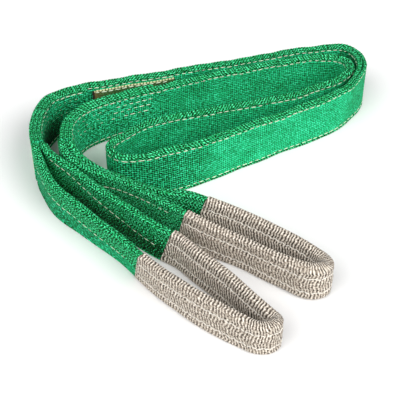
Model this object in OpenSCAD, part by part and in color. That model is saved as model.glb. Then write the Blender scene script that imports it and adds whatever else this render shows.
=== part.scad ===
// Flat web sling: a two-ply woven body with a soft sewn eye at each end,
// coiled and standing on its edge. Millimetres, +Z up, +Y away from the eyes.

/* [Webbing] */
// Width of the webbing, which is the height of the coil as it stands
web_w = 60; // [56:1:66]
// Thickness of one ply of webbing
ply_t = 5; // [4:0.25:5]
// Length of the lap that closes the lower eye
lower_lap_len = 150; // [120:5:170]
// Length of the lap that closes the upper eye
upper_lap_len = 165; // [120:5:200]

/* [Eyes] */
// Thickness of an eye leg, where the web is folded to half its width
leg_t = 9; // [7:0.5:9]
// Height of the folded web where the sleeve covers it
eye_web_h = 43; // [38:1:44]
// Wall of the protective sleeve
sleeve_wall = 1; // [0.8:0.1:1.2]
// How far the slanted end of a sleeve leans back at its foot
sleeve_slant = 14; // [0:1:16]
// Share of the leg's height from its foot to its fold seam
fold_seam_at = 0.45; // [0.4:0.05:0.6]

/* [Sewing] */
// Distance from the edge of the webbing to the edge seam
edge_seam_in = 5; // [4:0.5:8]
// Width of a row of stitches
stitch_w = 1.6; // [1:0.1:2]
// How far a row of stitches stands out of the webbing
stitch_proud = 0.5; // [0.3:0.1:0.8]
// Distance between the rows of a splice seam
splice_pitch = 8; // [6:0.5:10]
// Share of the sleeve's height from either edge to its seam
sleeve_seam_at = 0.22; // [0.18:0.02:0.3]

/* [Label] */
// Length of the identification label
label_len = 110; // [60:5:115]
// Height of the identification label
label_h = 40; // [30:1:44]
// Thickness of the identification label
label_t = 1; // [0.6:0.1:1.2]

/* [Hidden] */

// Plan position of the coil's own drawing origin in the part's frame
FRAME_SHIFT = [-7.3, -12, 0];

// Middle line of the two-ply body, from the lower eye's throat to the upper eye's
BODY_ROUTE = [
    [-195, 37], [-199, 53], [-202, 75], [-202, 97], [-196, 120], [-186, 137], [-172, 149], [-152, 158],
    [-126, 166], [-98, 174], [-66, 184], [-26, 197], [14, 209], [54, 221], [95, 235], [134, 248],
    [165, 256], [190, 258], [205, 252], [214, 239], [217, 223], [216, 206], [209, 188], [199, 171],
    [186, 154], [166, 137], [139, 118], [110, 101], [81, 84], [52, 67], [23, 50], [-3, 36],
    [-25, 26], [-46, 17], [-64, 10], [-80, 8], [-94, 11], [-103, 20], [-105, 32], [-98, 44],
    [-88, 55], [-74, 68], [-56, 79], [-30, 90], [0, 100], [30, 109], [60, 118], [90, 128],
    [118, 139], [142, 151], [162, 163], [177, 174], [188, 185], [195, 196], [197, 208], [194, 220],
    [184, 228], [168, 231], [146, 228], [116, 220], [84, 210], [50, 198], [16, 185], [-18, 171],
    [-46, 158], [-66, 149], [-85, 141], [-104, 132], [-122, 122], [-137, 112], [-148, 100],
    [-155, 86], [-158, 70], [-158, 56], [-156, 43]
];
// Middle line of each eye and how far its web is folded, from 0 flat to 1 as under
// the sleeve: out along the front leg, round the bearing bend and back along the rear leg
LOWER_ROUTE = [
    [-194, 33, 0], [-188, 15, 0.1], [-173, -17, 0.35], [-158, -38, 0.55], [-134, -61, 0.65],
    [-110, -84, 0.75], [-86, -107, 0.9], [-62, -133, 1], [-38, -159, 1], [-17, -179, 1], [4, -198, 1],
    [24, -214, 1], [42, -226, 1], [55, -233, 1], [67, -233, 1], [74, -226, 1], [67, -217, 1],
    [52, -201, 1], [35, -182, 1], [16, -160, 1], [-4, -138, 1], [-24, -116, 1], [-48, -99, 0.9],
    [-75, -76, 0.75], [-104, -50, 0.65], [-130, -24, 0.55], [-149, -5, 0.35], [-166, 9, 0.2],
    [-178, 21, 0.05], [-184, 33, 0]
];
UPPER_ROUTE = [
    [-164, 40, 0], [-156, 20, 0.2], [-138, 4, 0.35], [-115, -9, 0.45], [-94, -18, 0.55], [-73, -32, 0.55],
    [-53, -48, 0.5], [-34, -65, 0.5], [-10, -82, 0.6], [20, -99, 0.85], [46, -114, 1], [67, -129, 1],
    [88, -143, 1], [106, -153, 1], [119, -156, 1], [129, -151, 1], [126, -139, 1], [112, -124, 1],
    [93, -108, 1], [73, -93, 1], [52, -78, 1], [30, -64, 0.95], [9, -53, 0.9], [-13, -43, 0.85],
    [-37, -37, 0.95], [-59, -28, 1.05], [-78, -15, 1.1], [-97, -4, 1.1], [-113, 3, 1], [-132, 13, 0.65],
    [-147, 26, 0.3], [-154, 40, 0]
];
// Distance from the throat to each end of the sleeves, along the front and rear legs
LOWER_SLEEVE = [208, 197];
UPPER_SLEEVE = [183, 177];
// Distance from the end of the lower eye's lap to the label
LABEL_GAP = 7;
// Points between two points of a route
STEPS = 3;
// Air between a sleeve and the web inside it, and under the rows sewn on a curved face
SLEEVE_AIR = 0.1;
SEAM_AIR = 0.2;
// Length over which a slanted sleeve end becomes square
SLANT_RUN = 40;
// Distance from a throat to the start of its splice rows, and from the throat and the
// sleeve to the ends of a fold seam
SPLICE_START = 18;
FOLD_SEAM_START = 20;
FOLD_SEAM_GAP = 10;
// Gap between an edge row on a lap and its continuation on the ply
LAP_GAP = 4;
WEB_GREEN = [0.08, 0.55, 0.3];
THREAD = [0.88, 0.9, 0.78];
SLEEVE_GREY = [0.62, 0.56, 0.5];
LABEL_WHITE = [0.85, 0.82, 0.74];

// A point of the smooth curve through b and c, with a and d on either side
function curve(a, b, c, d, t) =
    0.5 * (2 * b + (c - a) * t + (2 * a - 5 * b + 4 * c - d) * t * t
    + (3 * b - a - 3 * c + d) * t * t * t);
function pick(list, i) = list[max(0, min(len(list) - 1, i))];
function smooth(route) = [
    for (i = [0:len(route) - 2], k = [0:STEPS - 1])
        curve(pick(route, i - 1), route[i], route[i + 1], pick(route, i + 2), k / STEPS),
    route[len(route) - 1]
];
function flat(p) = [p[0], p[1]];
function heading(path, i) =
    let (v = flat(pick(path, i + 1)) - flat(pick(path, i - 1))) v / norm(v);
function left(path, i) = let (t = heading(path, i)) [-t[1], t[0]];
function shifted(path, d) = [for (i = [0:len(path) - 1]) flat(path[i]) + d * left(path, i)];
function reversed(list) = [for (i = [len(list) - 1:-1:0]) list[i]];
// Running length of a path at each of its points
function lengths(path) = [
    for (i = 0, s = 0; i < len(path);
        i = i + 1, s = s + (i < len(path) ? norm(flat(path[i]) - flat(path[i - 1])) : 0)) s
];
function between(path, from, to) = let (s = lengths(path)) [
    for (i = [0:len(path) - 1]) if (s[i] >= from && s[i] <= to) path[i]
];
function total(path) = let (s = lengths(path)) s[len(s) - 1];
// The points of an eye's path, with the web's height at each
function eye_path(route) = [for (p = smooth(route)) [p[0], p[1], web_w - p[2] * (web_w - eye_web_h)]];

BODY = smooth(BODY_ROUTE);
LOWER = eye_path(LOWER_ROUTE);
UPPER = eye_path(UPPER_ROUTE);
BODY_LEN = total(BODY);

// A strip standing on edge between two offsets from a path
module strip(path, a, b, z0, z1) {
    translate(FRAME_SHIFT + [0, 0, z0])
        linear_extrude(z1 - z0)
            polygon(concat(shifted(path, a), reversed(shifted(path, b))));
}

// A row of stitches standing out of one face of the body
module body_row(path, face, z) {
    side = sign(face);
    strip(path, face, face + side * stitch_proud, z - stitch_w / 2, z + stitch_w / 2);
}

// Closed solid through four-cornered rings
module skin(rings) {
    n = len(rings[0]);
    last = len(rings) - 1;
    translate(FRAME_SHIFT)
        polyhedron(
            points = [for (r = rings) each r],
            faces = concat(
                [[for (k = [0:n - 1]) k]],
                [for (i = [0:last - 1], k = [0:n - 1])
                    [i * n + k, (i + 1) * n + k, (i + 1) * n + (k + 1) % n]],
                [for (i = [0:last - 1], k = [0:n - 1])
                    [i * n + k, (i + 1) * n + (k + 1) % n, i * n + (k + 1) % n]],
                [[for (k = [n - 1:-1:0]) last * n + k]]
            )
        );
}

// How far along its leg the top of a sleeve's end stands ahead of its foot
function lean(s, total_len) =
    let (near = max(0, 1 - min(s, total_len - s) / SLANT_RUN))
    near * (s < total_len / 2 ? 1 : -1) * sleeve_slant;

// Rings of an eye piece: offsets a and b from the middle line, and heights from
// low and high, each [share of the web's height, distance added]. A span leaves out
// the rings before and after it
function eye_rings(path, a, b, low, high, slanted = false, span = undef) = let (
    s = lengths(path),
    all = s[len(s) - 1],
    from = is_undef(span) ? 0 : span[0],
    to = is_undef(span) ? all : span[1]
) [
    for (i = [0:len(path) - 1]) if (s[i] >= from && s[i] <= to) let (
        p = flat(path[i]),
        n = left(path, i),
        t = heading(path, i),
        z0 = low[0] * path[i][2] + low[1],
        z1 = high[0] * path[i][2] + high[1],
        k = slanted ? lean(s[i], all) / path[i][2] : 0,
        p0 = p + t * k * z0,
        p1 = p + t * k * z1
    ) [
        [each (p0 + n * a), z0], [each (p1 + n * a), z1],
        [each (p1 + n * b), z1], [each (p0 + n * b), z0]
    ]
];

// The web stands on the sleeve's wall, so that it clears the ground by that much
module eye_web(path) {
    color(WEB_GREEN)
        skin(eye_rings(path, leg_t / 2, -leg_t / 2, [0, sleeve_wall], [1, 0]));
}

function sleeve_part(path, ends) = between(path, ends[0], total(path) - ends[1]);

module eye_sleeve(path, ends) {
    overrun = 8;
    bore_path = sleeve_part(path, ends - [overrun, overrun]);
    half = leg_t / 2 + sleeve_wall;
    bore_half = leg_t / 2 + SLEEVE_AIR;
    color(SLEEVE_GREY)
        difference() {
            skin(eye_rings(sleeve_part(path, ends), half, -half, [0, 0], [1, sleeve_wall], true));
            skin(eye_rings(bore_path, bore_half, -bore_half,
                [0, sleeve_wall - SLEEVE_AIR], [1, SLEEVE_AIR]));
        }
}

// A row of stitches at a share of the height, on both faces of an eye piece that is
// twice half thick
module eye_row(path, half, at, slanted, span = undef) {
    near = half + SEAM_AIR;
    far = half + stitch_proud;
    color(THREAD)
        for (face = [[far, near], [-near, -far]])
            skin(eye_rings(path, face[0], face[1],
                [at, -stitch_w / 2], [at, stitch_w / 2], slanted, span));
}

module sleeve_seam(path, ends, at) {
    eye_row(sleeve_part(path, ends), leg_t / 2 + sleeve_wall, at, true);
}

// The seam that holds the fold of the web, on both faces of both legs
module fold_seam(path, ends) {
    all = total(path);
    for (span = [
        [FOLD_SEAM_START, ends[0] - FOLD_SEAM_GAP],
        [all - ends[1] + FOLD_SEAM_GAP, all - FOLD_SEAM_START]
    ])
        eye_row(path, leg_t / 2, fold_seam_at, false, span);
}

// The seam along one edge of the body, on both faces and over both laps
module edge_seam(z) {
    lower_end = BODY_LEN - upper_lap_len;
    color(THREAD) {
        body_row(BODY, ply_t, z);
        body_row(between(BODY, lower_lap_len + LAP_GAP, lower_end - LAP_GAP), -ply_t, z);
        body_row(between(BODY, 0, lower_lap_len - LAP_GAP), -2 * ply_t, z);
        body_row(between(BODY, lower_end + LAP_GAP, BODY_LEN), -2 * ply_t, z);
    }
}

// The third layer, where an eye's web runs back along the body
module lap(path) {
    color(WEB_GREEN)
        strip(path, -ply_t, -2 * ply_t, 0, web_w);
}

// Rows through a lap and both plies, on the lap's face and on the far face
module splice_seam(path) {
    color(THREAD)
        for (row = [1:3]) {
            z = web_w - edge_seam_in - row * splice_pitch;
            body_row(path, -2 * ply_t, z);
            body_row(path, ply_t, z);
        }
}

// Upright bars of stitches across both faces of the webbing, at these points of a lap
module throat_tack(path, points) {
    z0 = 2 * edge_seam_in;
    z1 = web_w - edge_seam_in - splice_pitch / 2;
    color(THREAD)
        for (i = points, face = [ply_t, -2 * ply_t]) {
            bar = [flat(path[i]), flat(path[i]) + stitch_w * heading(path, i)];
            side = sign(face);
            strip(bar, face + side * SEAM_AIR, face + side * 2 * stitch_proud, z0, z1);
        }
}

module id_label() {
    color(LABEL_WHITE)
        strip(LABEL_PATH, -ply_t, -ply_t - label_t, LABEL_FOOT, LABEL_FOOT + label_h);
}

// Two rows along the label, near its top and its foot
module label_seam() {
    inset = 3;
    color(THREAD)
        for (z = [LABEL_FOOT + inset, LABEL_FOOT + label_h - inset])
            body_row(LABEL_PATH, -ply_t - label_t, z);
}

LOWER_LAP = between(BODY, 0, lower_lap_len);
UPPER_LAP = between(BODY, BODY_LEN - upper_lap_len, BODY_LEN);
LOWER_SPLICE = between(BODY, SPLICE_START, lower_lap_len);
UPPER_SPLICE = between(BODY, BODY_LEN - upper_lap_len, BODY_LEN - SPLICE_START);
UPPER_TACKS = [len(UPPER_LAP) - 4, len(UPPER_LAP) - 3];
LABEL_START = lower_lap_len + LABEL_GAP;
LABEL_PATH = between(BODY, LABEL_START, LABEL_START + label_len);
LABEL_FOOT = 12;

module outer_ply() { color(WEB_GREEN) strip(BODY, ply_t, 0, 0, web_w); }
module inner_ply() { color(WEB_GREEN) strip(BODY, 0, -ply_t, 0, web_w); }

outer_ply();
inner_ply();
lap(LOWER_LAP);  // lower_lap
lap(UPPER_LAP);  // upper_lap
edge_seam(web_w - edge_seam_in);  // top_edge_seam
edge_seam(edge_seam_in);  // bottom_edge_seam
splice_seam(LOWER_SPLICE);  // lower_splice_seam
splice_seam(UPPER_SPLICE);  // upper_splice_seam
throat_tack(LOWER_LAP, [1, 2]);  // lower_throat_tack
throat_tack(UPPER_LAP, UPPER_TACKS);  // upper_throat_tack
id_label();
label_seam();
eye_web(LOWER);  // lower_eye_web
eye_sleeve(LOWER, LOWER_SLEEVE);  // lower_eye_sleeve
fold_seam(LOWER, LOWER_SLEEVE);  // lower_fold_seam
sleeve_seam(LOWER, LOWER_SLEEVE, 1 - sleeve_seam_at);  // lower_sleeve_top_seam
sleeve_seam(LOWER, LOWER_SLEEVE, sleeve_seam_at);  // lower_sleeve_bottom_seam
eye_web(UPPER);  // upper_eye_web
eye_sleeve(UPPER, UPPER_SLEEVE);  // upper_eye_sleeve
fold_seam(UPPER, UPPER_SLEEVE);  // upper_fold_seam
sleeve_seam(UPPER, UPPER_SLEEVE, 1 - sleeve_seam_at);  // upper_sleeve_top_seam
sleeve_seam(UPPER, UPPER_SLEEVE, sleeve_seam_at);  // upper_sleeve_bottom_seam
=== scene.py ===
"""The looks of a flat web sling: woven plies, folded eyes, ribbed sleeves, stitches and label around the CAD frame.
Sizes are in millimetres until a mesh is made. A place on a strap is (s, offset, z): how far along its middle line,
how far to the left of it, and how high."""

import math

import bmesh
import bpy
import numpy as np
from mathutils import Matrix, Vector


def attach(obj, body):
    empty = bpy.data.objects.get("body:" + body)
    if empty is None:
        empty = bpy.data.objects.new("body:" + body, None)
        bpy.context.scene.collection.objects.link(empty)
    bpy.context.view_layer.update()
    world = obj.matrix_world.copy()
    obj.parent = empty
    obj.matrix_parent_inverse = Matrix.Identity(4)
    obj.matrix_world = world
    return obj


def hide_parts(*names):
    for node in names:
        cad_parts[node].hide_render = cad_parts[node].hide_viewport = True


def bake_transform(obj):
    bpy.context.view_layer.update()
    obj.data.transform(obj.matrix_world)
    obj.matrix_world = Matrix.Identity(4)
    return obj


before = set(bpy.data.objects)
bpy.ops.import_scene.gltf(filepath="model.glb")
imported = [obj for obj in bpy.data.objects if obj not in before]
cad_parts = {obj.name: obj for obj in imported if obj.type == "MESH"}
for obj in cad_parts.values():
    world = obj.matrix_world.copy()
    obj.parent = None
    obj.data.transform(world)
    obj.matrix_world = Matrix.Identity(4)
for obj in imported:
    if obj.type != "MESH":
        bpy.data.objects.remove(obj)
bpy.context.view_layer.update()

# ---- Sizes and routes -------------------------------------------------------------------------------------------
# Sizes and plan routes are the CAD source's. A third number in a route is the height of the web there. The lower
# eye's heights are its own in places, because its web has settled unevenly.
SHIFT = (-7.3, -12.0)  # from the routes' origin to the frame's
WEB, PLY = 60.0, 5.0  # the webbing's width, and the thickness of one layer
LOWER_LAP, UPPER_LAP = 150.0, 165.0
SEAM_IN = 5.0  # from an edge of the webbing to its seam
LEG_HALF = 4.5  # half the thickness of an eye's leg
SLEEVE_WALL = 1.0
SLEEVE_SLANT, SLANT_RUN = 14.0, 40.0  # how far a sleeve's end leans along the leg, and where that dies out
LOWER_SLEEVE, UPPER_SLEEVE = (208.0, 197.0), (183.0, 177.0)  # bare leg before and after the sleeve
LABEL_START, LABEL_LEN, LABEL_H, LABEL_FOOT, LABEL_T = 157.0, 110.0, 40.0, 12.0, 1.0
SPAN_STEPS = 16  # points on a route from one named point to the next
CROWDING = 12.0  # how far outside a bend's middle line a sleeve's ribs keep their true spacing

BODY_ROUTE = [
    (-195, 37), (-199, 53), (-202, 75), (-202, 97), (-196, 120), (-186, 137), (-172, 149), (-152, 158),
    (-126, 166), (-98, 174), (-66, 184), (-26, 197), (14, 209), (54, 221), (95, 235), (134, 248),
    (165, 256), (190, 258), (205, 252), (214, 239), (217, 223), (216, 206), (209, 188), (199, 171),
    (186, 154), (166, 137), (139, 118), (110, 101), (81, 84), (52, 67), (23, 50), (-3, 36),
    (-25, 26), (-46, 17), (-64, 10), (-80, 8), (-94, 11), (-103, 20), (-105, 32), (-98, 44),
    (-88, 55), (-74, 68), (-56, 79), (-30, 90), (0, 100), (30, 109), (60, 118), (90, 128),
    (118, 139), (142, 151), (162, 163), (177, 174), (188, 185), (195, 196), (197, 208), (194, 220),
    (184, 228), (168, 231), (146, 228), (116, 220), (84, 210), (50, 198), (16, 185), (-18, 171),
    (-46, 158), (-66, 149), (-85, 141), (-104, 132), (-122, 122), (-137, 112), (-148, 100),
    (-155, 86), (-158, 70), (-158, 56), (-156, 43),
]
LOWER_ROUTE = [
    (-194, 33, 60), (-188, 15, 58), (-173, -17, 54), (-158, -38, 51), (-134, -61, 49), (-110, -84, 47),
    (-86, -107, 45), (-62, -133, 43), (-38, -159, 43), (-17, -179, 44), (4, -198, 44), (24, -214, 42.5),
    (42, -226, 41), (55, -233, 40), (67, -233, 40), (74, -226, 40.5), (67, -217, 41.5), (52, -201, 42.5),
    (35, -182, 43), (16, -160, 43), (-4, -138, 43), (-24, -116, 43), (-48, -99, 45), (-75, -76, 47),
    (-104, -50, 49), (-130, -24, 51), (-149, -5, 54), (-166, 9, 57), (-178, 21, 59), (-184, 33, 60),
]
UPPER_ROUTE = [
    (-164, 40, 60), (-156, 20, 56.6), (-138, 4, 54), (-115, -9, 52.3), (-94, -18, 50.6), (-73, -32, 50.6),
    (-53, -48, 51.5), (-34, -65, 51.5), (-10, -82, 49.8), (20, -99, 45.5), (46, -114, 43), (67, -129, 43),
    (88, -143, 43), (106, -153, 43), (119, -156, 43), (129, -151, 43), (126, -139, 43), (112, -124, 43),
    (93, -108, 43), (73, -93, 43), (52, -78, 43), (30, -64, 43.9), (9, -53, 44.7), (-13, -43, 45.5),
    (-37, -37, 43.9), (-59, -28, 42.1), (-78, -15, 41.3), (-97, -4, 41.3), (-113, 3, 43), (-132, 13, 49),
    (-147, 26, 54.9), (-154, 40, 60),
]


class Path:
    """A smooth middle line in plan, with the height of the web along it. Outside is the distance along it that a
    sleeve's ribs are spaced by."""

    def __init__(self, route):
        route = np.array([(*p, WEB)[:3] if len(p) == 2 else p for p in route], float)
        route[:, :2] += SHIFT
        padded = np.vstack([route[:1], route, route[-1:]])
        a, b, c, d = (padded[i:len(route) - 1 + i, None, :] for i in range(4))
        t = np.linspace(0, 1, SPAN_STEPS, endpoint=False)[None, :, None]
        dense = 0.5 * (2 * b + (c - a) * t + (2 * a - 5 * b + 4 * c - d) * t**2 + (3 * b - a - 3 * c + d) * t**3)
        self.points = np.vstack([dense.reshape(-1, 3), route[-1:]])
        steps = np.linalg.norm(np.diff(self.points[:, :2], axis=0), axis=1)
        self.s = np.concatenate([[0], np.cumsum(steps)])
        self.length = self.s[-1]
        heading = np.gradient(self.points[:, :2], self.s, axis=0)
        self.heading = heading / np.linalg.norm(heading, axis=1)[:, None]
        turned = np.unwrap(np.arctan2(self.heading[:, 1], self.heading[:, 0]))
        self.outside = self.s + CROWDING * (turned - turned[0])

    def look(self, values, s):
        return np.interp(s, self.s, values)

    def top(self, s):
        return self.look(self.points[:, 2], s)

    def place(self, s, offset, z):
        """Points in metres. Beyond either end the line runs straight on."""
        s, offset, z = np.broadcast_arrays(s, offset, z)
        x, y = (self.look(self.points[:, i], s) for i in range(2))
        tx, ty = (self.look(self.heading[:, i], s) for i in range(2))
        size = np.hypot(tx, ty)
        tx, ty = tx / size, ty / size
        past = s - np.clip(s, 0, self.length)
        return np.stack([x + tx * past - ty * offset, y + ty * past + tx * offset, z], -1) / 1000


BODY, LOWER, UPPER = Path(BODY_ROUTE), Path(LOWER_ROUTE), Path(UPPER_ROUTE)


# ---- Mesh building ----------------------------------------------------------------------------------------------
def ramp(x, start, end):
    """A smooth step from 0 at start to 1 at end."""
    t = np.clip((x - start) / (end - start), 0, 1)
    return t * t * (3 - 2 * t)


def hump(x, at, run):
    """1 at one place, and falling smoothly to nothing about two runs away."""
    return np.exp(-(((x - at) / run) ** 2))


def pingpong(x, turn):
    """Up from 0 to turn and down again."""
    return turn - np.abs(np.mod(x, 2 * turn) - turn)


def section(a, b, low, high, corner, share_a, share_b, arc=4, crown=2):
    """Stations round a web's cross-section, from the foot of face a up, over the top, down face b and back under.
    Gives offsets and heights [rings, stations], and each station's outward direction and part:
    0 face a, 1 top, 2 face b, 3 underside."""
    a, b, low, high = (np.asarray(v, float).reshape(-1, 1) for v in (a, b, low, high))
    share_a, share_b = np.asarray(share_a), np.asarray(share_b)[::-1]
    turn = np.linspace(0, math.pi / 2, arc + 2)[1:-1]
    across = np.linspace(0, 1, crown + 2)
    tall, thick = high - low - 2 * corner, a - b - 2 * corner
    parts = [
        (a + 0 * share_a, low + corner + tall * share_a, 1 + 0 * share_a, 0 * share_a, 0),
        (a - corner + corner * np.cos(turn), high - corner + corner * np.sin(turn), np.cos(turn), np.sin(turn), 1),
        (a - corner - thick * across, high + 0 * across, 0 * across, 1 + 0 * across, 1),
        (b + corner - corner * np.sin(turn), high - corner + corner * np.cos(turn), -np.sin(turn), np.cos(turn), 1),
        (b + 0 * share_b, low + corner + tall * share_b, -1 + 0 * share_b, 0 * share_b, 2),
        (b + corner - corner * np.cos(turn), low + corner - corner * np.sin(turn), -np.cos(turn), -np.sin(turn), 3),
        (b + corner + thick * across, low + 0 * across, 0 * across, -1 + 0 * across, 3),
        (a - corner + corner * np.sin(turn), low + corner - corner * np.cos(turn), np.sin(turn), -np.cos(turn), 3),
    ]
    rings = max(len(a), len(high))
    offsets = np.hstack([np.broadcast_to(p[0], (rings, p[0].shape[1])) for p in parts])
    heights = np.hstack([np.broadcast_to(p[1], (rings, p[1].shape[1])) for p in parts])
    out = np.concatenate([p[2] for p in parts]), np.concatenate([p[3] for p in parts])
    part = np.concatenate([np.full(p[0].shape[1], p[4]) for p in parts])
    return offsets, heights, out, part


def girth(offsets, heights):
    """Distance round the section at each station and back at the first: [rings, stations + 1], equal to the
    height on face a."""
    o = np.hstack([offsets, offsets[:, :1]])
    z = np.hstack([heights, heights[:, :1]])
    steps = np.hypot(np.diff(o, axis=1), np.diff(z, axis=1))
    return np.hstack([0 * o[:, :1], np.cumsum(steps, axis=1)]) + heights[:, :1]


def mesh_object(name, verts, faces, materials, slots=None, uv=None):
    mesh = bpy.data.meshes.new(name)
    mesh.from_pydata(verts.reshape(-1, 3).tolist(), [], faces)
    for m in materials:
        mesh.materials.append(m)
    if slots is not None:
        mesh.polygons.foreach_set("material_index", np.asarray(slots, np.int32))
    if uv is not None:
        mesh.uv_layers.new(name="web").data.foreach_set("uv", np.asarray(uv, np.float32).ravel())
    mesh.polygons.foreach_set("use_smooth", np.ones(len(mesh.polygons), bool))
    mesh.validate()
    mesh.update()
    o = bpy.data.objects.new(name, mesh)
    bpy.context.scene.collection.objects.link(o)
    return o


def skin(name, verts, u, v, materials, slot, capped=True):
    """A closed strap through rings of stations: verts [rings, stations, 3], u [rings, stations] and
    v [rings, stations + 1] in millimetres, and slot, the material of the face after each station."""
    rings, count = verts.shape[:2]
    i, k = np.meshgrid(np.arange(rings - 1), np.arange(count), indexing="ij")
    after = (k + 1) % count
    quads = np.stack([i * count + k, (i + 1) * count + k, (i + 1) * count + after, i * count + after], -1)
    u = np.hstack([u, u[:, :1]])
    corners = [(i, k), (i + 1, k), (i + 1, k + 1), (i, k + 1)]
    uv = np.stack([np.stack([u[c], v[c]], -1) for c in corners], 2).reshape(-1, 2)
    faces = quads.reshape(-1, 4).tolist()
    slots = np.broadcast_to(slot, (rings - 1, count)).ravel().tolist()
    if capped:
        ends = [list(range(count)), [(rings - 1) * count + j for j in range(count - 1, -1, -1)]]
        faces += ends
        slots += [0, 0]
        flat = [(j // count, j % count) for end in ends for j in end]
        uv = np.vstack([uv, [(verts[c][0] * 1000, verts[c][2] * 1000) for c in flat]])
    return mesh_object(name, verts, faces, materials, slots, uv)


STITCH_RINGS = np.array([-0.5, -0.42, -0.2, 0.2, 0.42, 0.5])  # along a stitch, over its length
STITCH_GIRTHS = np.array([0.25, 0.75, 1.0, 1.0, 0.75, 0.25])
STITCH_SIDES = 6


def capsule(length, turned):
    """Faces of one stitch, whose points run ring by ring, and the UV of every corner."""
    rings, sides = len(STITCH_RINGS), STITCH_SIDES
    faces, uv = [], []
    for ring in range(rings - 1):
        for k in range(sides):
            corners = [(ring, k), (ring, k + 1), (ring + 1, k + 1), (ring + 1, k)][:: -1 if turned else 1]
            faces.append([r * sides + c % sides for r, c in corners])
            uv += [(STITCH_RINGS[r] * length, c / sides) for r, c in corners]
    for end in (list(range(sides))[::-1], list(range((rings - 1) * sides, rings * sides))):
        faces.append(end[::-1] if turned else end)
        uv += [(0, k / sides) for k in range(sides)]
    return faces, uv


def stitches(name, path, rows, material, length, width, proud, seed):
    """One closed capsule for each stitch of each row. A row is the arrays (s, offset, z) of its stitches' middles,
    the side it stands out to, its stitches' length over the usual and their slope in z along s. No two stitches
    have quite the same length, tilt, height, depth or girth."""
    rng = np.random.default_rng(seed)
    angles = np.arange(STITCH_SIDES) * 2 * math.pi / STITCH_SIDES
    points = len(STITCH_RINGS) * STITCH_SIDES
    verts, faces, uv, base = [], [], [], 0
    for s, offset, z, side, size, slope in rows:
        s, offset, z = (np.asarray(q, float)[:, None, None] for q in np.broadcast_arrays(s, offset, z))
        count = len(s)
        size = size * length * rng.uniform(0.75, 1.12, (count, 1, 1))
        tilt = slope + rng.uniform(-0.07, 0.07, (count, 1, 1))
        z = z + rng.uniform(-0.25, 0.25, (count, 1, 1))
        offset = offset - side * np.maximum(rng.uniform(-0.5, 0.4, (count, 1, 1)), 0)
        x = STITCH_RINGS[None, :, None] * size
        grow = STITCH_GIRTHS[None, :, None] * rng.uniform(0.9, 1.1, (count, 1, 1))
        up = z + x * tilt + np.sin(angles) * grow * width / 2
        out = offset + side * (np.cos(angles) * grow * proud - 0.15 * proud)
        verts.append(path.place(s + x + 0 * angles, out, up).reshape(-1, 3))
        own_faces, own_uv = capsule(length, side < 0)
        for first in range(base, base + count * points, points):
            faces += [[first + corner for corner in face] for face in own_faces]
            uv += own_uv
        base += count * points
    return mesh_object(name, np.vstack(verts), faces, [material], None, uv)


# ---- Materials --------------------------------------------------------------------------------------------------
class Graph:
    """A material's nodes, written as short expressions."""

    def __init__(self, name, roughness, sheen=0.0, sheen_tint=(1, 1, 1, 1), specular=0.3):
        self.material = bpy.data.materials.new(name)
        self.material.use_nodes = True
        self.nodes, self.links = self.material.node_tree.nodes, self.material.node_tree.links
        self.shader = self.nodes["Principled BSDF"]
        for key, value in (("Roughness", roughness), ("Sheen Weight", sheen), ("Sheen Roughness", 0.4),
                           ("Sheen Tint", sheen_tint), ("Specular IOR Level", specular)):
            self.shader.inputs[key].default_value = value

    def plug(self, node, index, value):
        if hasattr(value, "links"):
            self.links.new(value, node.inputs[index])
        else:
            node.inputs[index].default_value = value

    def math(self, operation, *values):
        node = self.nodes.new("ShaderNodeMath")
        node.operation = operation
        for i, value in enumerate(values):
            self.plug(node, i, value)
        return node.outputs[0]

    def add(self, a, b):
        return self.math("ADD", a, b)

    def times(self, a, b):
        return self.math("MULTIPLY", a, b)

    def wave(self, turns):
        """From 0 to 1 and back for each whole turn."""
        return self.times(self.add(self.math("COSINE", self.times(turns, 2 * math.pi)), 1), 0.5)

    def web(self):
        """The place on the webbing in millimetres: u along it and v round it, from the foot of face a."""
        node = self.nodes.new("ShaderNodeUVMap")
        node.uv_map = "web"
        split = self.nodes.new("ShaderNodeSeparateXYZ")
        self.links.new(node.outputs[0], split.inputs[0])
        self.place = node.outputs[0]
        return split.outputs[0], split.outputs[1]

    def noise(self, scale, detail=2.0, stretch=(1, 1, 1)):
        scaled = self.nodes.new("ShaderNodeMapping")
        scaled.inputs["Scale"].default_value = stretch
        self.links.new(self.place, scaled.inputs["Vector"])
        node = self.nodes.new("ShaderNodeTexNoise")
        node.inputs["Scale"].default_value = scale
        node.inputs["Detail"].default_value = detail
        node.inputs["Roughness"].default_value = 0.6
        self.links.new(scaled.outputs[0], node.inputs["Vector"])
        return node.outputs[0]

    def between(self, value, low, high):
        """A smooth step from 0 at low to 1 at high."""
        node = self.nodes.new("ShaderNodeMapRange")
        node.interpolation_type = "SMOOTHSTEP"
        node.inputs["From Min"].default_value, node.inputs["From Max"].default_value = low, high
        self.plug(node, 0, value)
        return node.outputs[0]

    def tones(self, value, *stops):
        """Colour by value: each stop is (value, colour)."""
        node = self.nodes.new("ShaderNodeValToRGB")
        elements = node.color_ramp.elements
        while len(elements) < len(stops):
            elements.new(0.5)
        for element, (position, colour) in zip(elements, stops):
            element.position, element.color = position, colour
        self.plug(node, 0, value)
        return node.outputs[0]

    def mix(self, share, a, b):
        """Colour a, and b where share is 1. The node's colour sockets come after its number and vector ones."""
        node = self.nodes.new("ShaderNodeMix")
        node.data_type = "RGBA"
        self.plug(node, 0, share)
        self.plug(node, 6, a)
        self.plug(node, 7, b)
        return node.outputs[2]

    def finish(self, colour, height, depth):
        """Colour and bump, whose height is in depths of so many millimetres."""
        self.links.new(colour, self.shader.inputs["Base Color"])
        bump = self.nodes.new("ShaderNodeBump")
        bump.inputs["Strength"].default_value = 1.0
        bump.inputs["Distance"].default_value = depth / 1000
        self.links.new(height, bump.inputs["Height"])
        self.links.new(bump.outputs[0], self.shader.inputs["Normal"])
        return self.material


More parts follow.
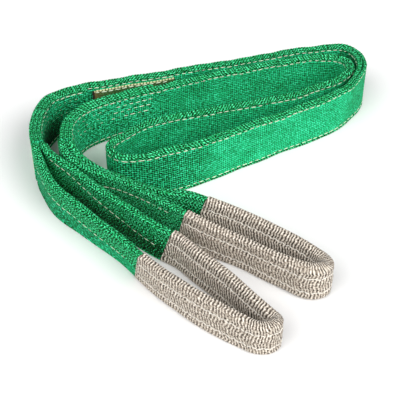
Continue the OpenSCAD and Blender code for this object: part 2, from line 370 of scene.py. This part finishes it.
TWILL_TONES = ((0.16, (0.001, 0.012, 0.003, 1)), (0.38, (0.004, 0.085, 0.018, 1)), (0.58, (0.014, 0.28, 0.075, 1)),
               (0.82, (0.020, 0.60, 0.21, 1)), (1.0, (0.12, 0.92, 0.46, 1)))
PLAIN_TONES = ((0.12, (0.001, 0.012, 0.004, 1)), (0.38, (0.003, 0.075, 0.022, 1)), (0.60, (0.008, 0.27, 0.085, 1)),
               (0.84, (0.014, 0.58, 0.24, 1)), (1.0, (0.08, 0.88, 0.50, 1)))
SLEEVE_TONES = ((0.18, (0.020, 0.015, 0.011, 1)), (0.42, (0.24, 0.195, 0.155, 1)), (0.68, (0.56, 0.49, 0.405, 1)),
                (1.0, (0.97, 0.90, 0.80, 1)))
WEAVE_SHEEN = (0.2, 1, 0.5, 1)
GRID = 2.8  # from one thread of the plain face to the next
OUTER_BEND, INNER_BEND = 548.0, 1352.0  # the hard turns at the far end of the coil, along the body
OPENED_AT, OPENED_HALF = 905.0, 85.0  # where the front fold draws the threads apart
LIT_BAND_AT, LIT_BAND_HALF, LIT_BAND_EDGE = 775.0, 165.0, 25.0  # the stretch of the front band painted lighter, as if in full light while the inner turns stand in shade
SEWN_TO, SEWN_FROM = 150.0, 190.0  # from an end of the body: still sewn to a lap, and clear of it
THROAT_SHADE_TO, THROAT_SHADE_FROM = 60.0, 140.0  # along a lap: where its painted shade is darkest, and where it has none
CREASE_SHADES = ((OUTER_BEND, 60.0, 0.20), (INNER_BEND, 55.0, 0.20), (60.0, 130.0, 0.08))  # painted shade on the inner faces, at the two hard turns and along the body's first stretch: at, half length, how dark
CHEVRON = 3.9  # from rib to rib on the selvedge
FOLD_RIB, FOLD_TURN = 3.9, 4.4  # on an eye's fold: from rib to rib, and the height at which the ribs turn back
RIB, RIB_TURN, RIB_LEAN = 3.75, 14.5, 3.6  # on a sleeve: the same two, and how far a rib leans before it turns


def stray(u, v):
    """How far a rib wanders along the strap, as weaving and handling leave it."""
    return 0.35 * np.sin(0.9 * v + 0.13 * u) + 0.45 * np.sin(0.37 * u)


def stray_nodes(g, u, v):
    """The same in a material, so that colour and relief agree."""
    first = g.math("SINE", g.add(g.times(v, 0.9), g.times(u, 0.13)))
    return g.add(g.times(first, 0.35), g.times(g.math("SINE", g.times(u, 0.37)), 0.45))


def spread(g, noise, amount):
    """A noise, which keeps near a half, widened about zero."""
    return g.times(g.add(noise, -0.5), amount)


def plain_weave(name, throat_shade_depth):
    """The face of the webbing: fine threads crossing at right angles, drawn apart over the front fold, painted
    lighter on the front band and with painted shade in the creases of the inner faces. The second argument is how
    dark painted shade makes it low down beside the throat. On the inner face v runs on past the top edge."""
    g = Graph(name, 0.8, 0.03, WEAVE_SHEEN, 0.1)
    u, v = g.web()
    fleck = g.noise(0.42, 3.0, (0.7, 1, 1))
    patch = g.noise(0.035, 2.0, (1, 1.6, 1))
    across, along = g.wave(g.times(u, 1 / GRID)), g.wave(g.times(v, 1 / GRID))
    threads = g.math("MAXIMUM", g.times(across, 0.9), along)
    opened = g.between(g.math("ABSOLUTE", g.add(u, -OPENED_AT)), OPENED_HALF, OPENED_HALF * 0.35)
    # Painted light: the front band is painted lighter, with calmer flecks, than the inner turns beside it.
    painted_lit_band = g.between(g.math("ABSOLUTE", g.add(u, -LIT_BAND_AT)), LIT_BAND_HALF + LIT_BAND_EDGE, LIT_BAND_HALF - LIT_BAND_EDGE)
    value = g.add(g.add(g.times(threads, 0.40), g.times(g.times(across, along), 0.14)), 0.33)
    value = g.add(value, g.times(painted_lit_band, 0.07))
    inner = g.between(v, WEB + 1, WEB + PLY)
    # Painted shade on the inner faces, in the creases of the hard turns and along the body's first stretch.
    for at, half, dark in CREASE_SHADES:
        near = g.between(g.math("ABSOLUTE", g.add(u, -at)), half, half * 0.3)
        value = g.add(value, g.times(g.times(near, inner), -dark))
    # Painted shade low down on the laps beside the throat.
    throat_shade_mask = g.times(g.between(v, WEB + 15, 2 * WEB - 5), g.between(u, THROAT_SHADE_FROM, THROAT_SHADE_TO))
    value = g.add(value, g.times(throat_shade_mask, -throat_shade_depth))
    value = g.add(value, g.times(g.times(g.add(threads, -1.25), opened), 0.30))
    half = BODY.length / 2
    sewn_on = g.between(g.math("ABSOLUTE", g.add(u, -half)), half - SEWN_FROM, half - SEWN_TO)
    liveliness = g.add(g.add(g.times(opened, 0.9), g.times(sewn_on, 1.1)), g.add(g.times(painted_lit_band, -0.35), 1.4))
    value = g.add(value, g.add(g.times(spread(g, fleck, 1.0), liveliness), spread(g, patch, 0.35)))
    return g.finish(g.tones(value, *PLAIN_TONES), g.add(threads, g.times(fleck, 0.7)), 0.7)


def chevron_weave(name, rib, zigzag, apex):
    """Coarse twill of the selvedge and of the folded part of an eye: ribs that turn back at the apex or, with a
    zigzag, each time v has gone that far. A fold has painted shade, darker towards the foot of face a."""
    g = Graph(name, 0.8, 0.03, WEAVE_SHEEN, 0.08)
    u, v = g.web()
    fleck = g.noise(0.55, 3.0, (0.65, 1, 1))
    if zigzag:
        lean = g.math("PINGPONG", v, zigzag)
    else:
        lean = g.math("ABSOLUTE", g.math("SUBTRACT", v, apex))
    ribs = g.wave(g.times(g.add(g.add(u, stray_nodes(g, u, v)), lean), 1 / rib))
    threads = g.wave(g.times(v, 1 / 2.3))
    height = g.add(ribs, g.add(g.times(threads, 0.4), g.times(fleck, 1.2)))
    value = g.add(g.add(g.times(ribs, 0.54), g.times(threads, 0.26)), g.add(spread(g, fleck, 3.2), 0.12))
    if zigzag:
        # Painted shade: face a of the fold grows darker towards its foot.
        value = g.add(value, g.times(g.between(v, 36, 12), -0.30))
    return g.finish(g.tones(value, *TWILL_TONES), height, 0.6)


def sleeve_weave():
    """Grey-beige protective sleeve: herringbone ribs across it, lighter and with flatter ribs from high on face a,
    over its top and down face b.
    """
    g = Graph("sleeve_ribs", 0.85, 0.1, (1, 1, 1, 1), 0.2)
    u, v = g.web()
    fleck = g.noise(0.45, 3.0)
    lean = g.times(g.math("PINGPONG", v, RIB_TURN), RIB_LEAN / RIB_TURN)
    ribs = g.wave(g.times(g.add(g.add(u, stray_nodes(g, u, v)), lean), 1 / RIB))
    threads = g.wave(g.times(v, 1 / 1.9))
    height = g.add(ribs, g.add(g.times(threads, 0.25), g.times(fleck, 0.9)))
    # Lighter, with flatter ribs, from high on face a, over the top and down face b.
    worn = g.between(v, WEB - 14, WEB - 6)
    value = g.add(g.add(g.times(ribs, g.add(g.times(worn, -0.24), 0.68)), g.times(threads, 0.10)),
                  g.add(spread(g, fleck, 1.9), g.add(g.times(worn, 0.12), 0.17)))
    return g.finish(g.tones(value, *SLEEVE_TONES), height, 0.6)


def thread(name, light, dark):
    """Twisted sewing thread."""
    g = Graph(name, 0.5, 0.2)
    u, v = g.web()
    twist = g.wave(g.add(g.times(u, 1 / 1.1), v))
    colour = g.mix(twist, dark, light)
    colour = g.mix(g.times(g.between(g.noise(0.9, 2.0), 0.5, 0.8), 0.4), colour, dark)
    return g.finish(colour, twist, 0.15)


def label_cloth():
    """Brown woven label with a pale stitched rim, and painted shadow across its first end."""
    g = Graph("label_cloth", 0.7, 0.1)
    u, v = g.web()
    grain = g.wave(g.times(v, 1 / 0.9))
    cloth = g.mix(g.between(g.noise(0.5, 3.0), 0.35, 0.65), (0.012, 0.055, 0.010, 1), (0.085, 0.20, 0.050, 1))
    browned = g.between(g.add(u, g.times(g.noise(0.35, 2.0), 12)), LABEL_START + 22, LABEL_START + 8)
    cloth = g.mix(g.times(browned, 0.75), cloth, (0.16, 0.10, 0.028, 1))
    middle = LABEL_FOOT + 1.5 * LABEL_H + LABEL_T
    rim = g.between(g.math("ABSOLUTE", g.math("SUBTRACT", v, middle)), LABEL_H / 2 - 2.2, LABEL_H / 2 - 1.2)
    rim = g.times(rim, g.between(g.add(g.wave(g.times(u, 1 / 4.2)), g.noise(0.3, 2.0)), 0.55, 0.95))
    colour = g.mix(rim, cloth, (0.72, 0.72, 0.42, 1))
    # Painted shadow: a near-black band across the label's first end.
    end = g.between(g.add(u, g.times(g.noise(0.4, 2.0), 2)), LABEL_START + 4.5, LABEL_START + 3)
    return g.finish(g.mix(end, colour, (0.02, 0.012, 0.006, 1)), grain, 0.12)


PLAIN = plain_weave("webbing_plain", 0.0)
# The laps' copy of the weave, with painted shade beside the throat.
LAP = plain_weave("webbing_lap_shaded", 0.5)
EDGE = chevron_weave("webbing_selvedge", CHEVRON, 0, WEB + PLY / 2 - 1)
FOLD = chevron_weave("webbing_fold", FOLD_RIB, FOLD_TURN, 0)
SLEEVE = sleeve_weave()
CREAM = thread("thread_cream", (0.92, 0.97, 0.82, 1), (0.50, 0.70, 0.44, 1))
BEIGE = thread("thread_beige", (0.97, 0.94, 0.87, 1), (0.62, 0.56, 0.48, 1))
LABEL = label_cloth()


# ---- The body ---------------------------------------------------------------------------------------------------
CALM = 60.0  # length of body at each end that runs true, to meet the eyes
FOOT_AT, FOOT_RUN, FOOT_OUT = 865.0, 60.0, 4.5  # where the front band's foot is pushed out
FULL = ((OUTER_BEND, 45.0, 3.4), (INNER_BEND, 38.0, 2.6))  # at, half length, how far
RING_STEP = 1.25
CORNER = 2.2  # radius of a ply's edges
EDGE_ROWS = (WEB - SEAM_IN, SEAM_IN)
SPLICE_ROWS = tuple(WEB - SEAM_IN - row * 8 for row in (1, 2, 3))
ABOVE_FLOOR = 0.05  # least height of any green cloth
BODY_SHARES = np.concatenate([np.arange(0, 6), np.linspace(8, 47, 9), np.arange(49, 55.5)]) / 55.0  # fine at edges
HIDDEN_SHARES = np.array([0, 0.5, 1.0])


def body_wave(s, z):
    """How far both plies together stray from the middle line."""
    calm = ramp(s, 0, CALM) * ramp(BODY.length - s, 0, CALM)
    slow = 0.6 * np.sin(s / 17 + z / 25) + 0.45 * np.sin(s / 9.3 + 1.3 - z / 17)
    return calm * slow + FOOT_OUT * hump(s, FOOT_AT, FOOT_RUN) * (1 - z / WEB)


def fullness(s):
    """How much the inner ply stands off at the hard turns."""
    return sum(out * hump(s, at, run) for at, run, out in FULL)


def body_lift(s, z, phase):
    """How far the top edge of a layer stands above or below its true height."""
    return (0.45 * np.sin(s / 11 + phase) + 0.3 * np.sin(s / 4.7 + 2 * phase) - 0.4) * ramp(z, 35, WEB)


def seam_groove(z, rows, depth=0.5, width=1.6):
    return -depth * sum(hump(z, row, width) for row in rows)


def rib_relief(wander, pitch):
    """From 0 to 1 and back for each rib, as Graph.wave does in the materials."""
    return 0.5 + 0.5 * np.cos(2 * math.pi * wander / pitch)


def body_layer(name, node, a, b, first, last, faces_shown, phase):
    """One layer of the body between two offsets from the middle line, from first to last along it."""
    s = np.linspace(first, last, int((last - first) / RING_STEP))[:, None]
    share_a, share_b = (BODY_SHARES if shown else HIDDEN_SHARES for shown in faces_shown)
    offsets, heights, (out, up), part = section(a, b, 0, WEB, CORNER, share_a, share_b)
    offsets, heights = (np.repeat(q, len(s), 0) for q in (offsets, heights))
    v = girth(offsets, heights)
    shown = np.isin(part, [p for p, on in ((0, faces_shown[0]), (1, True), (2, faces_shown[1]), (3, True)) if on])
    border = ramp(np.abs(heights - WEB / 2), WEB / 2 - 6, WEB / 2 - 4.5)
    apex = WEB + (a - b) / 2 - 1
    wander = s + stray(s, v[:, :-1])
    relief = shown * border * (rib_relief(wander + np.abs(v[:, :-1] - apex), CHEVRON) - 0.6) * 0.7
    thick = relief + np.isin(part, (0, 2)) * shown * seam_groove(heights, EDGE_ROWS)
    if b == -PLY:
        offsets = offsets - fullness(s) * np.where(offsets < (a + b) / 2, 1, 0.3)
    z = heights + body_lift(s, heights, phase) + up * thick
    z = np.maximum(z, ABOVE_FLOOR)
    off = offsets + body_wave(s, heights) + out * thick
    near_edge = np.abs((heights[0] + np.roll(heights[0], -1)) / 2 - WEB / 2) > WEB / 2 - SEAM_IN
    slot = np.where(near_edge, 1, 0)
    face = LAP if node.endswith("lap") else PLAIN
    piece = skin(name, BODY.place(s + 0 * z, off, z), s + 0 * z, v, [face, EDGE], slot)
    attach(piece, "coil")
    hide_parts(node)


body_layer("woven_outer_ply", "outer_ply", PLY, 0, 0, BODY.length, (True, False), 0.0)
body_layer("woven_inner_ply", "inner_ply", 0, -PLY, 0, BODY.length, (False, True), 1.7)
body_layer("woven_lower_lap", "lower_lap", -PLY, -2 * PLY, 0, LOWER_LAP, (False, True), 3.1)
body_layer("woven_upper_lap", "upper_lap", -PLY, -2 * PLY, BODY.length - UPPER_LAP, BODY.length, (False, True), 4.4)

STITCH, PITCH, THREAD_W, PROUD = 6.6, 9.0, 1.2, 0.6  # length, from one to the next, width, and how far it stands out
TACK_PITCH, TACK_SIZE, TACK_SLOPE = 1.7, 0.6, 0.15
OUTER_FACE, INNER_FACE, LAP_FACE = PLY, -PLY, -2 * PLY


def body_row(first, last, face, z, sunk=0.35):
    """A row of stitches on one face of the body. Face is its offset from the middle line."""
    s = np.arange(first + PITCH / 2, last - PITCH / 2, PITCH)
    sink = -sunk * np.sign(face) - (fullness(s) if face == INNER_FACE else 0)
    return s, face + sink + body_wave(s, z), z + body_lift(s, z, 0.0), np.sign(face), 1.0, 0.0


def edge_rows(z):
    start, end = LOWER_LAP, BODY.length - UPPER_LAP
    return [body_row(0, BODY.length, OUTER_FACE, z), body_row(start, end, INNER_FACE, z),
            body_row(0, start, LAP_FACE, z), body_row(end, BODY.length, LAP_FACE, z)]


def splice_rows(first, last, stagger, worn):
    """Three rows on both faces, each shifted on from the one above. Worn is how far they have sunk in along s."""
    rows = []
    for face in (OUTER_FACE, LAP_FACE):
        for row, z in enumerate(SPLICE_ROWS):
            shift = stagger * row
            s, offset, *rest = body_row(first + max(shift, 0), last + min(shift, 0), face, z, sunk=0.0)
            rows.append((s, offset - np.sign(face) * worn(s), *rest))
    return rows


def tack_rows(places):
    """Upright bars of short stitches, one above another, on both faces."""
    z = np.arange(2 * SEAM_IN + 1, WEB - SEAM_IN - 4, TACK_PITCH)
    return [(s + 0 * z, face + body_wave(s, z), z, np.sign(face), TACK_SIZE, TACK_SLOPE)
            for s in places for face in (OUTER_FACE, LAP_FACE)]


def sewn(name, node, path, rows, material, seed, body, **sizes):
    """The stitches of one seam. Without a body they are left unattached, for the caller."""
    sizes = {"length": STITCH, "width": THREAD_W, "proud": PROUD, **sizes}
    piece = stitches(name, path, rows, material, seed=seed, **sizes)
    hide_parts(node)
    if body:
        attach(piece, body)
    return piece


sewn("stitches_top_edge", "top_edge_seam", BODY, edge_rows(EDGE_ROWS[0]), CREAM, 1, "coil")
sewn("stitches_bottom_edge", "bottom_edge_seam", BODY, edge_rows(EDGE_ROWS[1]), CREAM, 2, "coil")
END_CLEAR, LAP_CLEAR, STAGGER = 12, 3, 4.0  # from a row to the throat and to the lap's end, and from row to row
lap_end = BODY.length - UPPER_LAP + LAP_CLEAR
lower_rows = splice_rows(END_CLEAR, LOWER_LAP - LAP_CLEAR, -STAGGER, lambda s: 0.45)
upper_rows = splice_rows(lap_end, BODY.length - END_CLEAR, STAGGER, lambda s: 0.42 * ramp(s - lap_end, 35, 70))
sewn("stitches_lower_splice", "lower_splice_seam", BODY, lower_rows, CREAM, 3, "coil", width=1.15)
sewn("stitches_upper_splice", "upper_splice_seam", BODY, upper_rows, CREAM, 4, "coil", width=1.15)

TACKS = (6.0, 11.0)  # from a throat
lower_rows = tack_rows(TACKS)
upper_rows = tack_rows([BODY.length - at for at in TACKS[::-1]])
sewn("stitches_lower_tack", "lower_throat_tack", BODY, lower_rows, CREAM, 5, "coil")
sewn("stitches_upper_tack", "upper_throat_tack", BODY, upper_rows, CREAM, 6, "coil")


def label():
    """A thin sheet on the inner ply, curled out a little at its first end and puckered along its two rows."""
    s = np.linspace(LABEL_START, LABEL_START + LABEL_LEN, 56)[:, None]
    curl = 1.6 * hump(s, LABEL_START, 5)
    back = -PLY + 0.1
    face = back - LABEL_T - curl
    offsets, heights, _, part = section(back - 0 * s - curl, face, LABEL_FOOT, LABEL_FOOT + LABEL_H, 0.3,
                                        np.linspace(0, 1, 9), np.linspace(0, 1, 17), 1, 0)
    offsets, heights = (np.broadcast_to(q, (len(s), len(part))) for q in (offsets, heights))
    pucker = 0.25 * np.sin(s / 2.6) * ramp(np.abs(heights - LABEL_FOOT - LABEL_H / 2), LABEL_H / 2 - 8, LABEL_H / 2)
    off = offsets + body_wave(s, heights) - np.abs(pucker)
    v = girth(offsets, heights)
    piece = skin("label_sheet", BODY.place(s + 0 * heights, off, heights), s + 0 * heights, v, [LABEL], 0)
    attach(piece, "coil")
    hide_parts("id_label")
    first, last = LABEL_START + 2, LABEL_START + LABEL_LEN
    rows = [body_row(first, last, -PLY - LABEL_T - 0.7, z) for z in (LABEL_FOOT + 3, LABEL_FOOT + LABEL_H - 3)]
    sewn("stitches_label", "label_seam", BODY, rows, CREAM, 7, "coil")


label()


# ---- The eyes ---------------------------------------------------------------------------------------------------
LEG_RUN, BEND_RUN = 150.0, 90.0  # a leg leans fully this far from its throat, and not at all at the loop's middle
FOOT_TURN, TOP_TURN = (150, 270), (270, 330)  # where the front leg passes from its first lean to its second
SWELL_RUN = 26.0
TONGUE = 8.0  # length of web that runs on inside the body
LEG_CORNER, SLEEVE_CORNER = 2.4, 3.6
SLEEVE_STEP, LINING_STEP = 0.65, 5.0  # from ring to ring outside and inside a sleeve
SLEEVE_SEAMS = (0.27, 0.73)  # shares of its height
SLEEVE_STITCH = {"pitch": 4.6, "size": 0.72}


class Eye:
    """One eye: its path, where its sleeve lies, how far foot and top of a leg stand out (front leg by the throat,
    front leg in the sleeve, rear leg), how its loop swells at the bend, and its fold's edge as shares of the height,
    at the throat and where the sleeve starts, on the front leg and on the rear leg."""

    def __init__(self, name, path, ends, stands_out, bend, bulge, fold_front, fold_rear, wholly_folded):
        self.name, self.path, self.stands_out, self.bend, self.bulge = name, path, stands_out, bend, bulge
        self.fold_front, self.fold_rear, self.wholly_folded = fold_front, fold_rear, wholly_folded
        self.first, self.last = ends[0], path.length - ends[1]

    def lean(self, s, z):
        """Offset that makes each leg stand out at its foot or at its top."""
        half = self.path.length / 2
        leg = np.clip(np.minimum(s, self.path.length - s) / LEG_RUN, 0, 1) * ramp(np.abs(s - half), 0, BEND_RUN)
        foot, top = (np.where(s < half, first + (then - first) * ramp(s, *turn), rear)
                     for first, then, rear, turn in zip(*self.stands_out, (FOOT_TURN, TOP_TURN)))
        return -leg * (foot + (top - foot) * z / self.path.top(s) - 0.3 * np.sin(s / 13))

    def swell(self, s):
        return self.bulge * hump(s, self.bend, SWELL_RUN)

    def fold_height(self, s):
        """Height of the fold's edge, which the fold's stitches follow."""
        front = self.fold_front[0] + (self.fold_front[1] - self.fold_front[0]) * ramp(s, 0, self.first)
        rear = self.fold_rear[0] + (self.fold_rear[1] - self.fold_rear[0]) * ramp(self.path.length - s, 0, self.first)
        return np.where(s < self.path.length / 2, front, rear) * self.path.top(s)


LOWER_EYE = Eye("lower", LOWER, LOWER_SLEEVE, ((-2.4, 3.8), (2.0, 1.4), (2.2, 4.4)), 386.0, 1.5,
                (0.66, 0.42), (0.9, 0.42), (False, True))
UPPER_EYE = Eye("upper", UPPER, UPPER_SLEEVE, ((-1.2, 1.8), (-0.4, 1.4), (-1.2, 1.8)), 352.0, 4.8,
                (0.55, 0.8), (0.6, 0.5), (True, True))


def eye_web(eye):
    """The web of one eye: folded and ribbed where it shows, plain inside the sleeve, and ending in tongues that are
    thinner and lower, so that they stay hidden in the body."""
    path, first, last = eye.path, eye.first, eye.last
    s = np.concatenate([np.arange(-TONGUE, first + 4, 1.0), np.arange(first + 6, last - 6, 4.0),
                        np.arange(last - 4, path.length + TONGUE, 1.0)])[:, None]
    inside = ramp(s, first - 2, first + 2) * ramp(last - s, -2, 2)
    out_of_body = ramp(s, -1.5, 1.5) * ramp(path.length - s, -1.5, 1.5)
    half = LEG_HALF * (0.72 + 0.28 * out_of_body)
    top = path.top(s) * (0.95 + 0.05 * out_of_body)
    low = 2 - 2 * out_of_body + SLEEVE_WALL * inside
    share = np.linspace(0, 1, 51)
    offsets, heights, (out, up), part = section(half, -half, low, top, LEG_CORNER, share, share)
    v = girth(offsets, heights)
    edge = eye.fold_height(s)
    above = ramp(heights - edge, -0.6, 0.6)
    sides = np.isin(part, (0, 2))
    ribs = rib_relief(s + stray(s, v[:, :-1]) + pingpong(v[:, :-1], FOLD_TURN), FOLD_RIB)
    folded = np.where(sides, above, part == 1)
    relief = (1 - inside) * (folded * (0.45 * (ribs - 0.6) + 0.35 * sides) - 0.8 * sides * (1 - above))
    groove = sides * (1 - inside) * -0.5 * hump(heights, edge, 1.3)
    thick = (relief + groove) * out_of_body
    z = np.maximum(heights + up * thick, ABOVE_FLOOR)
    off = offsets + eye.lean(s, heights) + out * thick
    middle = (heights[:-1] + heights[1:]) / 2
    fold_on = (middle > (edge[:-1] + edge[1:]) / 2) & sides | (part == 1)
    leg_folded = np.where(s[:-1] < path.length / 2, *eye.wholly_folded)
    slot = np.where(fold_on | leg_folded, 1, 0)
    piece = skin(f"woven_{eye.name}_eye", path.place(s + 0 * z, off, z), s + 0 * z, v, [PLAIN, FOLD], slot)
    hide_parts(f"{eye.name}_eye_web")
    return piece


def eye_row(eye, first, last, height_at, half, pitch=PITCH, size=1.0):
    """Rows of stitches on both faces of one leg or of the sleeve, at height_at(s)."""
    s = np.arange(first + pitch / 2, last - pitch / 2, pitch)
    z = height_at(s)
    slope = np.gradient(z, s)[:, None, None]
    return [(s, side * (half - 0.45) + eye.lean(s, z) - (eye.swell(s) if side < 0 else 0), z, side, size, slope)
            for side in (1, -1)]


def lean_of_end(along, total):
    """How far along the leg the top of a sleeve's end is from its foot."""
    near = np.clip(1 - np.minimum(along, total - along) / SLANT_RUN, 0, 1)
    return near * np.where(along < total / 2, 1, -1) * SLEEVE_SLANT


def eye_sleeve(eye):
    """A tube over the eye's web, in one closed skin: ribbed outside and plain inside."""
    path, first, last = eye.path, eye.first, eye.last
    total = last - first
    along = np.linspace(0, total, int(total / SLEEVE_STEP))[:, None]
    inner_along = np.linspace(total, 0, int(total / LINING_STEP))[:, None]
    share = np.linspace(0, 1, 46)

    def tube(run, half, low, high, outer):
        s = first + run
        top = path.top(s)
        sides = half + 0 * s
        offsets, heights, (out, up), part = section(sides, -sides, low + 0 * s, top + high, SLEEVE_CORNER,
                                                    share, share, 5, 2)
        at = u = s + lean_of_end(run, total) * heights / top
        v = girth(offsets, heights)
        thick = 0 * u
        if outer:
            u = path.look(path.outside, s) + u - s
            wander = u + stray(u, v[:, :-1]) + pingpong(v[:, :-1], RIB_TURN) * RIB_LEAN / RIB_TURN
            ribs = rib_relief(wander, RIB)
            seams = seam_groove(heights / top, SLEEVE_SEAMS, 0.9, 0.045) * np.isin(part, (0, 2))
            puff = 0.5 * np.cos(math.pi * (heights / top - 0.5)) ** 2 * np.isin(part, (0, 2))
            thick = 0.5 * (ribs - 0.7) + seams + puff + (part == 2) * eye.swell(s)
            thick = thick * ramp(np.minimum(run, total - run), -1, 2)
        off = offsets + eye.lean(at, heights) + out * thick
        z = np.maximum(heights + up * thick, 0.03)
        return path.place(at, off, z), u, v

    outer = tube(along, LEG_HALF + SLEEVE_WALL, 0, SLEEVE_WALL, True)
    inner = tube(inner_along, LEG_HALF + 0.15, SLEEVE_WALL - 0.15, 0.15, False)
    verts, u, v = (np.concatenate([a, b, a[:1]]) for a, b in zip(outer, inner))
    piece = skin(f"ribbed_{eye.name}_sleeve", verts, u, v, [SLEEVE], 0, capped=False)
    weld(piece)
    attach(piece, f"{eye.name}_eye")
    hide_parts(f"{eye.name}_eye_sleeve")


def weld(piece):
    """Joins the last ring of a tube to its first, where they are the same points."""
    bm = bmesh.new()
    bm.from_mesh(piece.data)
    bmesh.ops.remove_doubles(bm, verts=bm.verts, dist=1e-7)
    bm.to_mesh(piece.data)
    bm.free()


def make_eye(eye, seed):
    """One eye: its green web and fold stitches, unattached with their transforms baked, and its sleeve and sleeve
    stitches on the eye's body.
    """
    web = eye_web(eye)
    throat_clear, sleeve_clear, face = 14, 6, LEG_HALF + 0.25
    rows = eye_row(eye, throat_clear, eye.first - sleeve_clear, eye.fold_height, face)
    rows += eye_row(eye, eye.last + sleeve_clear, eye.path.length - throat_clear, eye.fold_height, face)
    fold = sewn(f"stitches_{eye.name}_fold", f"{eye.name}_fold_seam", eye.path, rows, CREAM, seed, None)
    for piece in (web, fold):
        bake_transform(piece)
    eye_sleeve(eye)
    for i, (share, side) in enumerate(zip(SLEEVE_SEAMS, ("bottom", "top"))):
        clear = 4 + share * SLEEVE_SLANT
        rows = eye_row(eye, eye.first + clear, eye.last - clear, lambda s: share * (eye.path.top(s) + SLEEVE_WALL),
                       LEG_HALF + SLEEVE_WALL + 0.3, **SLEEVE_STITCH)
        # Zigzag: every other stitch slopes the other way.
        rows = [(*row[:-1], row[-1] + 0.5 * (-1.0) ** np.arange(len(row[0]))[:, None, None]) for row in rows]
        sewn(f"stitches_{eye.name}_sleeve_{side}", f"{eye.name}_sleeve_{side}_seam", eye.path, rows, BEIGE,
             seed + 1 + i, f"{eye.name}_eye", width=1.5, proud=0.9)


make_eye(LOWER_EYE, 10)
make_eye(UPPER_EYE, 20)


# ---- Stage ------------------------------------------------------------------------------------------------------
CAMERA_AT, CAMERA_TILT = (-0.0073, -0.8328, 0.6887), 50  # metres, and degrees up from straight down
LENS, SENSOR = 81.0, 36.0
FLOOR_HALF, FLOOR_GREY = 3.0, (0.93, 0.93, 0.93, 1)
AMBIENT = 0.27
LIGHTS = (("key", (0.66, -0.62, 0.72), 2.6, 40), ("fill", (-0.62, -0.70, 0.95), 1.9, 50))  # towards, power, size


def stage():
    """Camera, pale floor, even world light and two wide suns."""
    scene = bpy.context.scene
    cam = bpy.data.objects.new("camera", bpy.data.cameras.new("camera"))
    scene.collection.objects.link(cam)
    cam.location = CAMERA_AT
    cam.rotation_euler = (math.radians(CAMERA_TILT), 0, 0)
    cam.data.lens, cam.data.sensor_width = LENS, SENSOR
    scene.camera = cam
    corners = np.array([(-1, -1, 0), (1, -1, 0), (1, 1, 0), (-1, 1, 0)]) * FLOOR_HALF
    floor = mesh_object("floor", corners, [[0, 1, 2, 3]], [])
    paper = bpy.data.materials.new("floor_paper")
    paper.use_nodes = True
    shader = paper.node_tree.nodes["Principled BSDF"]
    shader.inputs["Base Color"].default_value = FLOOR_GREY
    shader.inputs["Roughness"].default_value = 0.9
    floor.data.materials.append(paper)
    world = bpy.data.worlds.new("studio")
    world.use_nodes = True
    background = world.node_tree.nodes["Background"]
    background.inputs["Color"].default_value = (1, 1, 1, 1)
    background.inputs["Strength"].default_value = AMBIENT
    scene.world = world
    for name, towards, power, size in LIGHTS:
        light = bpy.data.objects.new(name, bpy.data.lights.new(name, "SUN"))
        light.data.energy, light.data.angle = power, math.radians(size)
        light.rotation_mode = "QUATERNION"
        light.rotation_quaternion = Vector(towards).to_track_quat("Z", "Y")
        scene.collection.objects.link(light)
    scene.view_settings.view_transform = "Standard"
    scene.view_settings.look = "None"


stage()
